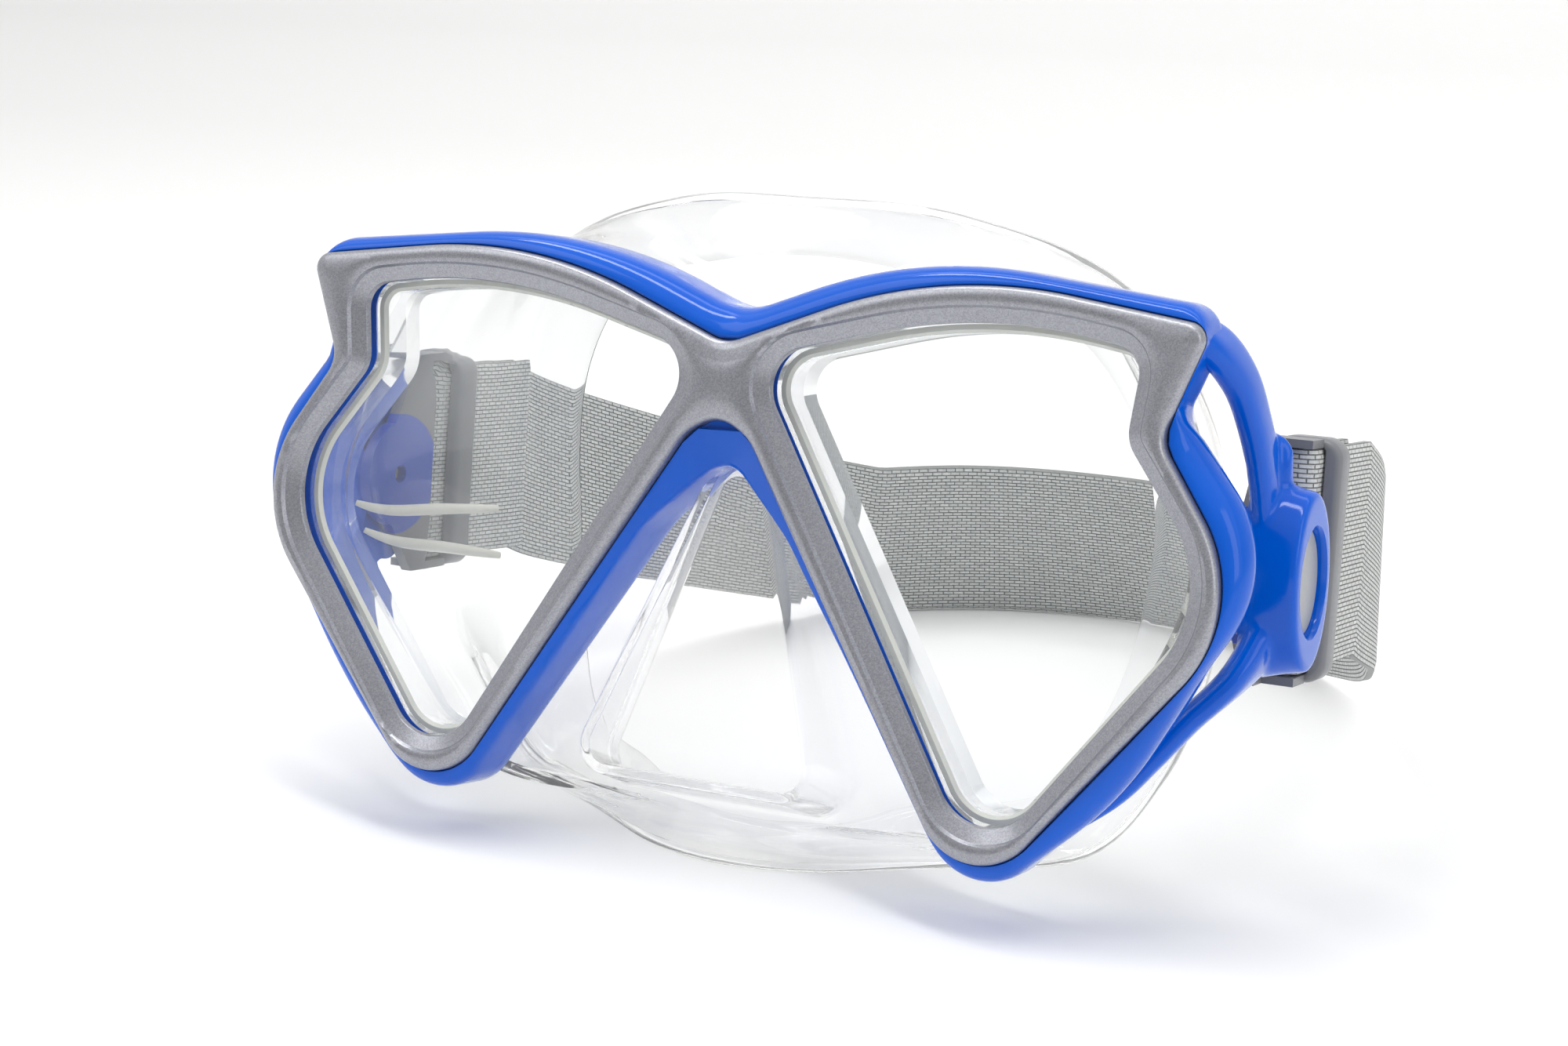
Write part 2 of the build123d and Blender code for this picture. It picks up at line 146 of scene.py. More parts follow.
# ------------------------------------------------------------------ meshes
class Shell:
    """Collects points, in millimetres, and faces; make() gives a Blender object."""

    def __init__(self):
        self.points, self.faces, self.slots, self.band = [], [], [], []
        self.slot = 0  # material slot of the next faces

    def add(self, points):
        """Adds points, and gives their indices."""
        first = sum(len(p) for p in self.points)
        self.points.append(np.asarray(points, float))
        return np.arange(first, first + len(points))

    def face(self, corners):
        self.faces.append([int(c) for c in corners])
        self.slots.append(self.slot)

    def strip(self, a, b, closed=True):
        """A row of quads between two matching lines of points."""
        n = len(a)
        for i in range(n if closed else n - 1):
            j = (i + 1) % n
            self.face((a[i], a[j], b[j], b[i]))

    def loft(self, loops, closed=True):
        for a, b in zip(loops, loops[1:]):
            self.strip(a, b, closed)

    def patch(self, outer, holes, flip=False, within=None):
        """Filling between loops, each given as (indices, 2-D points): every line crossed goes in or out.

        within gives further points that the filling passes through.
        """
        loops = [outer, *holes]
        flat = np.concatenate([p for _, p in loops])
        ids = np.concatenate([i for i, _ in loops])
        edges, first = [], 0
        for _, p in loops:
            edges += [(first + k, first + (k + 1) % len(p)) for k in range(len(p))]
            first += len(p)
        if within:
            ids, flat = np.concatenate([ids, within[0]]), np.concatenate([flat, within[1]])
        spots, lines, faces, origin, drawn, _ = delaunay_2d_cdt(
            [Vector(p) for p in flat], edges, [], 0, 1e-7, True)
        corner = [ids[o[0] if o else np.linalg.norm(flat - spots[k], axis=1).argmin()]
                  for k, o in enumerate(origin)]
        fixed = {frozenset(e) for e, o in zip(lines, drawn) if o}
        sides = {}
        for k, f in enumerate(faces):
            for i in range(3):
                sides.setdefault(frozenset((f[i], f[i - 1])), []).append(k)
        depth = {}
        todo = [(pair[0], int(e in fixed)) for e, pair in sides.items() if len(pair) == 1]
        while todo:
            k, level = todo.pop()
            if k in depth:
                continue
            depth[k] = level
            for i in range(3):
                e = frozenset((faces[k][i], faces[k][i - 1]))
                todo += [(other, level ^ (e in fixed)) for other in sides[e] if other not in depth]
        for k, f in enumerate(faces):
            if depth[k]:
                self.face([corner[i] for i in (f[::-1] if flip else f)])

    def make(self, name, materials, sharp=40):
        """A Blender object; band, if filled, gives each point's place along and across a band as its UV."""
        mesh = bpy.data.meshes.new(name)
        mesh.from_pydata((np.concatenate(self.points) * MM).tolist(), [], self.faces)
        for m in materials:
            mesh.materials.append(m)
        mesh.polygons.foreach_set("material_index", self.slots)
        if self.band:
            index = np.zeros(len(mesh.loops), int)
            mesh.loops.foreach_get("vertex_index", index)
            uv = np.concatenate(self.band)[index]
            mesh.uv_layers.new(name="band").data.foreach_set("uv", uv.ravel())
        tidy(mesh, sharp)
        obj = bpy.data.objects.new(name, mesh)
        bpy.context.scene.collection.objects.link(obj)
        return obj


def tidy(mesh, sharp=40):
    """Welds doubled points, turns the faces outwards and shades smooth up to an angle."""
    bm = bmesh.new()
    bm.from_mesh(mesh)
    bmesh.ops.remove_doubles(bm, verts=bm.verts, dist=1e-6)
    bmesh.ops.delete(bm, geom=[v for v in bm.verts if not v.link_faces], context="VERTS")
    bmesh.ops.recalc_face_normals(bm, faces=bm.faces)
    bm.to_mesh(mesh)
    bm.free()
    mesh.validate()
    mesh.shade_smooth()
    mesh.set_sharp_from_angle(angle=math.radians(sharp))


def modify(obj, kind, **settings):
    """Adds a modifier and applies it to the mesh."""
    m = obj.modifiers.new(kind, kind)
    for key, value in settings.items():
        setattr(m, key, value)
    bpy.context.view_layer.update()
    mesh = bpy.data.meshes.new_from_object(obj.evaluated_get(bpy.context.evaluated_depsgraph_get()))
    obj.modifiers.clear()
    old, obj.data = obj.data, mesh
    bpy.data.meshes.remove(old)
    return obj


def mirror_copy(obj, name):
    """A copy of the piece for the other side."""
    copy = bpy.data.objects.new(name, obj.data.copy())
    copy.data.transform(Matrix.Diagonal((-1, 1, 1, 1)))
    copy.data.flip_normals()
    bpy.context.scene.collection.objects.link(copy)
    return copy


# ------------------------------------------------------------------ materials
def nodes_of(name):
    """A new material, its node tree and its Principled shader."""
    mat = bpy.data.materials.new(name)
    mat.use_nodes = True
    tree = mat.node_tree
    return mat, tree, tree.nodes["Principled BSDF"]


def link(tree, a, b):
    tree.links.new(a, b)


def noise(tree, scale, detail=2.0, rough=0.5):
    """Noise in the piece's own coordinates; scale is in waves per metre."""
    coords = tree.nodes.new("ShaderNodeTexCoord")
    n = tree.nodes.new("ShaderNodeTexNoise")
    n.inputs["Scale"].default_value = scale
    n.inputs["Detail"].default_value = detail
    n.inputs["Roughness"].default_value = rough
    link(tree, coords.outputs["Object"], n.inputs["Vector"])
    return n


def ramp(tree, source, low, high, start=0.0, end=1.0):
    """A value or colour that runs from low to high as source goes from start to end."""
    r = tree.nodes.new("ShaderNodeMapRange")
    r.inputs["From Min"].default_value, r.inputs["From Max"].default_value = start, end
    link(tree, source, r.inputs["Value"])
    if isinstance(low, tuple):
        mix = tree.nodes.new("ShaderNodeMix")
        mix.data_type = "RGBA"
        mix.inputs["A"].default_value = (*low, 1)
        mix.inputs["B"].default_value = (*high, 1)
        link(tree, r.outputs["Result"], mix.inputs["Factor"])
        return mix.outputs["Result"]
    r.inputs["To Min"].default_value, r.inputs["To Max"].default_value = low, high
    return r.outputs["Result"]


def bump(tree, shader, height, strength, distance):
    """Raises the shader's surface by height, up to a distance in metres."""
    b = tree.nodes.new("ShaderNodeBump")
    b.inputs["Strength"].default_value = strength
    b.inputs["Distance"].default_value = distance
    link(tree, height, b.inputs["Height"])
    link(tree, b.outputs["Normal"], shader.inputs["Normal"])


def plastic(name, low, high, rough=(0.2, 0.3), grain=900, depth=0.00002, coat=0.0, shine=0.5):
    """Moulded plastic: slow colour drift, fine grain in the roughness and the surface."""
    mat, tree, p = nodes_of(name)
    drift = noise(tree, 35, 3)
    fine = noise(tree, grain, 4, 0.6)
    link(tree, ramp(tree, drift.outputs["Fac"], low, high, 0.3, 0.7), p.inputs["Base Color"])
    link(tree, ramp(tree, fine.outputs["Fac"], *rough, 0.3, 0.7), p.inputs["Roughness"])
    bump(tree, p, fine.outputs["Fac"], 0.25, depth)
    p.inputs["Specular IOR Level"].default_value = shine
    p.inputs["Coat Weight"].default_value = coat
    p.inputs["Coat Roughness"].default_value = 0.04
    return mat


def silver_paint(name):
    """Metallic paint: flakes a tenth of a millimetre across, each tilted a little."""
    mat, tree, p = nodes_of(name)
    coords = tree.nodes.new("ShaderNodeTexCoord")
    flakes = tree.nodes.new("ShaderNodeTexVoronoi")
    flakes.inputs["Scale"].default_value = 5200
    link(tree, coords.outputs["Object"], flakes.inputs["Vector"])
    drift = noise(tree, 60, 3)
    base = ramp(tree, flakes.outputs["Color"], (0.275, 0.28, 0.315), (0.41, 0.415, 0.455), 0.1, 1.0)
    link(tree, base, p.inputs["Base Color"])
    link(tree, ramp(tree, drift.outputs["Fac"], 0.30, 0.40, 0.3, 0.7), p.inputs["Roughness"])
    p.inputs["Metallic"].default_value = 0.75
    p.inputs["Coat Weight"].default_value = 0.35
    p.inputs["Coat Roughness"].default_value = 0.12
    bump(tree, p, flakes.outputs["Distance"], 0.06, 0.00002)
    return mat


def clear(name, colour, ior, rough, shade, milk=0.0, coat=0.0):
    """Glass or silicone that bends the light, and that lamps shine through; milk is its cloudy share."""
    mat, tree, p = nodes_of(name)
    grain = noise(tree, 220, 3)
    p.inputs["Base Color"].default_value = (*colour, 1)
    p.inputs["Transmission Weight"].default_value = 1.0 - milk
    p.inputs["IOR"].default_value = ior
    p.inputs["Coat Weight"].default_value = coat
    p.inputs["Coat Roughness"].default_value = 0.05
    p.inputs["Coat IOR"].default_value = 1.4
    link(tree, ramp(tree, grain.outputs["Fac"], *rough, 0.3, 0.7), p.inputs["Roughness"])
    if milk:
        # Painted shade: where the surface turns edge-on, the colour darkens to 0.62 of itself, drawing grey
        # lines along the edges.
        turned = tree.nodes.new("ShaderNodeLayerWeight")
        turned.inputs["Blend"].default_value = 0.5
        edge = tuple(0.62 * c for c in colour)
        link(tree, ramp(tree, turned.outputs["Facing"], colour, edge, 0.72, 1.0), p.inputs["Base Color"])
    through = tree.nodes.new("ShaderNodeBsdfTransparent")
    through.inputs["Color"].default_value = (*shade, 1)
    path = tree.nodes.new("ShaderNodeLightPath")
    either = tree.nodes.new("ShaderNodeMath")
    either.operation = "MAXIMUM"
    link(tree, path.outputs["Is Shadow Ray"], either.inputs[0])
    link(tree, path.outputs["Is Diffuse Ray"], either.inputs[1])
    mix = tree.nodes.new("ShaderNodeMixShader")
    link(tree, either.outputs[0], mix.inputs["Fac"])
    link(tree, p.outputs["BSDF"], mix.inputs[1])
    link(tree, through.outputs["BSDF"], mix.inputs[2])
    link(tree, mix.outputs["Shader"], tree.nodes["Material Output"].inputs["Surface"])
    return mat


def steel(name):
    """Brushed stainless steel."""
    mat, tree, p = nodes_of(name)
    grain = noise(tree, 2500, 2)
    p.inputs["Base Color"].default_value = (0.62, 0.62, 0.63, 1)
    p.inputs["Metallic"].default_value = 1.0
    link(tree, ramp(tree, grain.outputs["Fac"], 0.22, 0.36, 0.3, 0.7), p.inputs["Roughness"])
    return mat


def webbing(name):
    """Grey elastic webbing: knots in offset rows, laid out by the band's length and width in millimetres."""
    mat, tree, p = nodes_of(name)
    uv = tree.nodes.new("ShaderNodeUVMap")
    uv.uv_map = "band"
    brick = tree.nodes.new("ShaderNodeTexBrick")
    brick.offset = 0.5
    for key, value in (("Scale", 1.0), ("Brick Width", 2.0), ("Row Height", 0.72), ("Mortar Size", 0.13),
                       ("Mortar Smooth", 1.0)):
        brick.inputs[key].default_value = value
    brick.inputs["Color1"].default_value = (0.66, 0.675, 0.66, 1)
    brick.inputs["Color2"].default_value = (0.57, 0.585, 0.575, 1)
    # Painted shade: the dark mortar colour fills the grooves between the knots.
    brick.inputs["Mortar"].default_value = (0.22, 0.23, 0.225, 1)
    link(tree, uv.outputs["UV"], brick.inputs["Vector"])
    fuzz = noise(tree, 1800, 4, 0.7)
    mix = tree.nodes.new("ShaderNodeMix")
    mix.data_type = "RGBA"
    mix.blend_type = "MULTIPLY"
    mix.inputs["Factor"].default_value = 1.0
    link(tree, brick.outputs["Color"], mix.inputs["A"])
    shade = ramp(tree, fuzz.outputs["Fac"], (0.82, 0.82, 0.82), (1.1, 1.1, 1.1), 0.3, 0.7)
    link(tree, shade, mix.inputs["B"])
    link(tree, mix.outputs["Result"], p.inputs["Base Color"])
    p.inputs["Roughness"].default_value = 0.85
    p.inputs["Sheen Weight"].default_value = 0.25
    bump(tree, p, ramp(tree, brick.outputs["Fac"], 1.0, 0.0), 1.0, 0.0004)
    return mat


def buckle_plastic(name):
    """Grey plastic, with the disc that sits in the hub moulded in blue."""
    disc_r, blue, grey = 0.0103, (0.002, 0.06, 0.45), (0.17, 0.175, 0.19)
    mat, tree, p = nodes_of(name)
    coords = tree.nodes.new("ShaderNodeTexCoord")
    from_hub = tree.nodes.new("ShaderNodeVectorMath")
    from_hub.operation = "MULTIPLY_ADD"
    from_hub.inputs[1].default_value = (0, 1, 1)
    from_hub.inputs[2].default_value = (0, -HUB_Y * MM, -HUB_Z * MM)
    radius = tree.nodes.new("ShaderNodeVectorMath")
    radius.operation = "LENGTH"
    link(tree, coords.outputs["Object"], from_hub.inputs[0])
    link(tree, from_hub.outputs[0], radius.inputs[0])
    fine = noise(tree, 1500, 4, 0.6)
    colour = ramp(tree, radius.outputs["Value"], blue, grey, disc_r, disc_r + 0.0002)
    link(tree, colour, p.inputs["Base Color"])
    link(tree, ramp(tree, fine.outputs["Fac"], 0.3, 0.42, 0.3, 0.7), p.inputs["Roughness"])
    return mat


BLUE = plastic("blue_polycarbonate", (0.0, 0.092, 0.56), (0.0, 0.108, 0.64), (0.09, 0.14),
               coat=0.15, shine=0.26)
SILVER = silver_paint("silver_paint")
GREY = plastic("grey_acetal", (0.17, 0.175, 0.19), (0.20, 0.205, 0.22), (0.28, 0.40), 1500, 0.00004)
BUTTON = plastic("button_acetal", (0.33, 0.34, 0.35), (0.37, 0.38, 0.39), (0.28, 0.40), 1500, 0.00004)
BUCKLE = buckle_plastic("buckle_acetal")
GLASS = clear("window_glass", (0.985, 0.995, 0.995), 1.45, (0.0, 0.004), (0.96, 0.975, 0.975))
SILICONE = clear("clear_silicone", (0.998, 0.998, 0.994), 1.13, (0.02, 0.06), (0.975, 0.975, 0.965),
                 milk=0.055, coat=0.8)
SEAT = plastic("cream_silicone", (0.74, 0.73, 0.66), (0.80, 0.79, 0.73), (0.25, 0.4), 400, 0.00004)
STEEL = steel("stainless_steel")
WEBBING = webbing("grey_webbing")


# ------------------------------------------------------------------ silver retainer
def gaps(points, others):
    """Each point's distance from the nearest of the others."""
    return np.linalg.norm(points[:, None] - others[None], axis=2).min(1)


def crown(shell, outer, windows):
    """Rows of points that follow the edges of the retainer's face, which swells a little between them."""
    edges = [outer, *windows]
    spots, heights = [], []
    for d in (0.5, 1.1, 1.8, 2.6, 3.5, 4.5):
        for row in (moved(outer, -d), *(moved(window, d) for window in windows)):
            away = np.min([gaps(row, edge) for edge in edges], axis=0)
            row = row[away > d - 0.04]
            if spots and len(row):
                row = row[gaps(row, np.concatenate(spots)) > 0.3]
            spots.append(row)
            rise = RING_SWELL * (1 - (1 - min(d / 3.5, 1)) ** 2)
            heights.append(np.full(len(row), RING_FRONT - rise))
    spots = np.concatenate(spots)
    return shell.add(place(*spots.T, np.concatenate(heights))), spots


def retainer():
    """The silver ring: a bevelled outer edge, a swelling face, and a band that slopes down to each window."""
    shell = Shell()
    near_bridge = np.exp(-(RING_LOOP[:, 0] / 9) ** 2) * (RING_LOOP[:, 1] > 20)
    wide = 1 + 2.2 * near_bridge
    edge = [(0, RING_BACK), (0, -1.1), (0.06, -1.6), (0.22, -2.0), (0.5, -2.32), (0.95, RING_FRONT)]
    outer = [moved(RING_LOOP, -inset * wide) for inset, _ in edge]
    rings = [shell.add(place(*loop.T, w)) for loop, (_, w) in zip(outer, edge)]
    shell.loft(rings)
    band = [(0, RING_BACK), (0, -0.35), (0.14, -0.62), (0.45, -0.8), (1.4, -1.35), (2.25, -1.8), (2.6, -2.44)]
    fronts, backs = [], []
    for window in WINDOW_LOOPS:
        loops = [moved(window, out) for out, _ in band]
        ids = [shell.add(place(*loop.T, w)) for loop, (_, w) in zip(loops, band)]
        shell.loft(ids)
        fronts.append((ids[-1], loops[-1]))
        backs.append((ids[0], loops[0]))
    shell.patch((rings[-1], outer[-1]), fronts, within=crown(shell, outer[-1], [f[1] for f in fronts]))
    shell.patch((rings[0], outer[0]), backs, flip=True)
    return shell.make("silver_retainer", [SILVER], 32)


# ------------------------------------------------------------------ blue frame
def step_up(x, low, high):
    """0 before low and 1 after high, smooth between; with low above high it falls instead."""
    t = np.clip((x - low) / (high - low), 0, 1)
    return t * t * (3 - 2 * t)


def nearest(points, loop):
    """The loop's point that is nearest to each given one."""
    gap = np.linalg.norm(points[:, None] - loop[None], axis=2)
    return loop[gap.argmin(1)]


def rim():
    """The blue rim: a crown from the ring's edge to the side, straight sides, and a tunnel at each window."""
    shell = Shell()
    foot = nearest(RIM_LOOP, resample(moved(RING_LOOP, 0.1), 0.35))
    width = np.linalg.norm(RIM_LOOP - foot, axis=1)
    across, high = np.abs(RIM_LOOP[:, 0]), RIM_LOOP[:, 1]
    nose = step_up(across, 30, 14) * step_up(high, 22, 10)
    side = step_up(across, 45, 62)
    back = RIM_BACK - RIM_SIDE_RISE * side
    draft = side * step_up(high, 26, 16) * (0.6 + 0.9 * step_up(high, -22, -8))
    deep = 2.6 + 0.75 * width
    lip = [(1, RING_BACK), (1, -0.2), (0.97, -0.42)]
    rings = [shell.add(place(*(RIM_LOOP + f * (foot - RIM_LOOP)).T, w)) for f, w in lip]
    for s in (0.08, 0.18, 0.3, 0.42, 0.54, 0.65, 0.75, 0.83, 0.9, 0.95, 0.985, 1.0):
        crown_w = deep * (1 - (1 - s ** 2.1) ** (1 / 2.1))
        corner = max(0.0, (s - 0.85) / 0.15)
        facet_w = 0.42 * width * s + 1.5 * (1 - math.sqrt(max(0.0, 1 - corner ** 2)))
        w = -0.55 + crown_w * (1 - nose) + facet_w * nose
        rings.append(shell.add(place(*(RIM_LOOP + (1 - s) * (foot - RIM_LOOP)).T, w)))
    sides = [(0.0, 0.3), (0.0, 0.6), (0.0, 0.8), (0.15, 0.9), (0.5, 0.97), (1.1, 1.0)]
    for inset, share in sides:
        last = moved(RIM_LOOP, -inset - draft * share)
        rings.append(shell.add(place(*last.T, w + (back - w) * share)))
    shell.loft(rings)
    tunnel = [(WINDOW_SEAT_OUT, RING_BACK), (WINDOW_SEAT_OUT, WINDOW_SEAT_DEPTH), (0.8, WINDOW_SEAT_DEPTH),
              (0.8, 5.5), (2.6, 7.2), (2.6, RIM_BACK)]
    floors, backs = [], []
    for window in WINDOW_LOOPS:
        loops = [moved(window, out) for out, _ in tunnel]
        deepest = RIM_BACK - RIM_SIDE_RISE * step_up(np.abs(window[:, 0]), 45, 62)
        ids = [shell.add(place(*loop.T, np.minimum(w, deepest))) for loop, (_, w) in zip(loops, tunnel)]
        shell.loft(ids)
        floors.append((ids[0], loops[0]))
        backs.append((ids[-1], loops[-1]))
    kept = [0]
    for i in range(1, len(foot)):
        if np.linalg.norm(foot[i] - foot[kept[-1]]) > 1e-6:
            kept.append(i)
    if np.linalg.norm(foot[kept[-1]] - foot[0]) < 1e-6:
        kept.pop()
    shell.patch((rings[0][kept], foot[kept]), floors)
    shell.patch((rings[-1], last), backs, flip=True)
    return shell.make("frame_rim", [BLUE], 35)


def block(name, low, high):
    """A box between two corners."""
    shell = Shell()
    outline = np.array([(low[1], low[2]), (high[1], low[2]), (high[1], high[2]), (low[1], high[2])])
    ends = [shell.add(np.column_stack([np.full(4, x), outline])) for x in (low[0], high[0])]
    shell.strip(*ends)
    for end in ends:
        shell.patch((end, outline), [])
    return shell.make(name, [BLUE])


def oval_stack(name, layers, count=72, y=HUB_Y, z=HUB_Z):
    """A closed solid of ovals along X: each layer is (x, width along Y, height along Z)."""
    shell = Shell()
    a = np.linspace(0, 2 * math.pi, count, endpoint=False)
    loops = []
    for x, width, height in layers:
        across, up = y + np.cos(a) * width / 2, z + np.sin(a) * height / 2
        loops.append(shell.add(np.column_stack([np.full(count, x), across, up])))
    shell.loft(loops)
    shell.face(loops[0])
    shell.face(loops[-1])
    return shell.make(name, [BLUE])


def cut(obj, other):
    """Takes the other object's space out of the piece, and removes that object."""
    modify(obj, "BOOLEAN", operation="DIFFERENCE", object=other, solver="EXACT")
    bpy.data.objects.remove(other)


def joined(objects, name):
    """One object from the meshes of several, which are removed."""
    bm = bmesh.new()
    for obj in objects:
        bm.from_mesh(obj.data)
        bpy.data.objects.remove(obj)
    mesh = bpy.data.meshes.new(name)
    bm.to_mesh(mesh)
    bm.free()
    obj = bpy.data.objects.new(name, mesh)
    bpy.context.scene.collection.objects.link(obj)
    return obj


def limb(name, centre, half_x, half_y, count=28):
    """A closed bar with an oval section that swells and narrows along a smooth line of (X, Y, Z) points."""
    centre = np.array(centre, float)
    at = np.linspace(0, len(centre) - 1, 10 * (len(centre) - 1) + 1)
    known = np.arange(len(centre), dtype=float)
    line = smooth_through(at, known, centre)
    size = smooth_through(at, known, np.column_stack([half_x, half_y]))
    run = unit(np.gradient(line, axis=0))
    back = np.array([0.0, 1.0, 0.0])
    out = unit(np.cross(back, run))
    deep = unit(np.cross(run, out))
    a = np.linspace(0, 2 * math.pi, count, endpoint=False)
    round_x = np.sign(np.cos(a)) * np.abs(np.cos(a)) ** 0.75
    round_y = np.sign(np.sin(a)) * np.abs(np.sin(a)) ** 0.75
    shell = Shell()
    loops = []
    for p, o, d, (hx, hy) in zip(line, out, deep, size):
        loops.append(shell.add(p + round_x[:, None] * hx * o + round_y[:, None] * hy * d))
    shell.loft(loops)
    shell.face(loops[0])
    shell.face(loops[-1])
    return shell.make(name, [BLUE])


def side_arm():
    """The right arm, its oval hub and the small fin above it, flowing into each other as one moulding."""
    upper = limb("upper", UPPER_ARM, [2.5, 2.5, 2.3, 2.1, 2.0, 2.4, 3.0], [4.2, 4.5, 4.2, 4.0, 4.5, 6.0, 7.5])
    lower = limb("lower", LOWER_ARM, [3.2, 2.8, 2.3, 2.0, 1.8, 1.7, 1.5], [7.5, 6.2, 4.4, 3.4, 3.0, 2.8, 2.4])
    pod = oval_stack("pod", [(76.8, 15.0, 27), (78.0, 17.0, 31), (79.5, 17.3, 31.0), (82, 17.2, 29.5),
                             (85, 17.2, 28), (86.6, 17.1, 27.5), (87.0, 16.4, 26.8)])
    spine = oval_stack("spine", [(78.6, 4.6, 10), (80.2, 4.4, 16.0), (82.0, 3.6, 14.5), (83.2, 2.2, 11.5)],
                       count=32, y=HUB_Y - 0.6, z=HUB_Z + 14.5)
    body = joined([upper, lower, pod, spine], "side_arm")
    modify(body, "REMESH", mode="VOXEL", voxel_size=0.36 * MM)
    modify(body, "SMOOTH", factor=0.5, iterations=22)
    room = block("room", (60, 18.6, 28.7), (78.3, 44.2, 73.3))
    cut(body, room)
    hollow = oval_stack("hollow", [(70, 15.04, 19.44), (80.4, 15.04, 19.44), (80.4, 14.1, 18.5),
                                   (84.5, 14.1, 18.5), (84.5, 12.1, 16.5), (86.2, 12.1, 16.5),
                                   (86.7, 12.5, 16.9), (88, 14.6, 19.2)], count=96)
    cut(body, hollow)
    body.data.materials.clear()
    body.data.materials.append(BLUE)
    tidy(body.data, 38)
    return body


# ------------------------------------------------------------------ skirt
AXIS_Z = 51.0
PLATE_W, PLATE_T, WALL_T = 12.5, 1.6, 1.7
RIBS = np.array([
    # angle, start r, hip r, y, full r, y, edge r, y, lip r, y
    (-90, 43, 45.5, 3.4, 47.5, 1.6, 51.0, 2.5, 47, 13),
    (-74, 45, 47.8, 5, 50, 4.2, 53.0, 6, 48, 15),
    (-58, 50, 53, 9, 57, 12.5, 59.8, 17.5, 52, 25),
    (-45, 60, 61, 14, 68, 23, 71.0, 31, 60, 36),
    (-32, 65, 63, 16, 69.5, 29, 71, 38, 58, 42),
    (-12, 71, 69, 17, 69.5, 32, 67, 46, 54.5, 49),
    (2, 78, 73, 17.5, 70.5, 33, 66, 48, 54, 50),
    (20, 72, 69, 22, 68, 35, 65.5, 46, 53.5, 48),
    (36, 68, 66, 24, 65, 34, 64, 43, 52, 45),
    (62, 43, 47, 25, 51, 30, 56, 36, 44.5, 36.5),
    (90, 36, 41, 23.5, 46, 28, 51.5, 33, 42, 35.5),
], float)
POCKET_REAR = [(5.5, 7.0), (-5.5, 7.0), (-24.0, -45.5), (24.0, -45.5)]
POCKET_FRONT = [(4.7, 8.2), (-4.7, 8.2), (-22.2, -44.0), (22.2, -44.0)]
POCKET_R = [4.7, 4.7, 5, 5]
POCKET_EDGE = 2.0
POCKET_TOP = (5.5, 57.5)
POCKET_LEAN = math.radians(21.6)


def smooth_through(at, known_at, known):
    """A Catmull-Rom curve through known values."""
    slope = np.gradient(known, known_at, axis=0)
    k = np.clip(np.searchsorted(known_at, at, side="right") - 1, 0, len(known_at) - 2)
    h = known_at[k + 1] - known_at[k]
    t = ((at - known_at[k]) / h)[:, None]
    h = h[:, None]
    h00, h10 = 2 * t ** 3 - 3 * t ** 2 + 1, t ** 3 - 2 * t ** 2 + t
    h01, h11 = -2 * t ** 3 + 3 * t ** 2, t ** 3 - t ** 2
    return h00 * known[k] + h10 * h * slope[k] + h01 * known[k + 1] + h11 * h * slope[k + 1]


def ribs_all_round(count):
    """Rib rows at even angles all the way round, mirrored left to right."""
    below, above = RIBS[1:4][::-1].copy(), RIBS[-4:-1][::-1].copy()
    below[:, 0], above[:, 0] = -180 - below[:, 0], 180 - above[:, 0]
    known = np.concatenate([below, RIBS, above])
    angles = np.linspace(-90, 270, count, endpoint=False)
    folded = np.where(angles > 90, 180 - angles, angles)
    rows = smooth_through(folded, known[:, 0], known[:, 1:])
    return np.radians(angles), rows


def plane_depth(z, depth):
    """Y of the plane that lies at a depth behind the windows' front, at height z."""
    return (depth + (z - PLANE_RISE) * SIN) / COS


def flat(points):
    """Window-plane (u, v) of points in the row frame."""
    u, y, z = points.T
    w = COS * y - SIN * (z - PLANE_RISE)
    return np.stack([u, (z - PLANE_RISE + SIN * w) / COS], -1)


def around(angle, r, y):
    """Points at an angle and radius from the skirt's axis."""
    return np.stack([r * np.cos(angle), np.broadcast_to(y, r.shape), AXIS_Z + r * np.sin(angle)], -1)


def window_reach(angle):
    """How far the windows' seats reach from the skirt's axis, at each angle round it."""
    seat = place(*moved(WINDOW_LOOP, 2.1).T, PLATE_W)
    around_axis = np.arctan2(seat[:, 2] - AXIS_Z, seat[:, 0])
    reach = np.hypot(seat[:, 0], seat[:, 2] - AXIS_Z)
    folded = np.where(np.cos(angle) < 0, math.pi - angle, angle)
    gap = np.abs((folded[:, None] - around_axis + math.pi) % (2 * math.pi) - math.pi)
    return np.where(gap < 0.045, reach, 0).max(1)


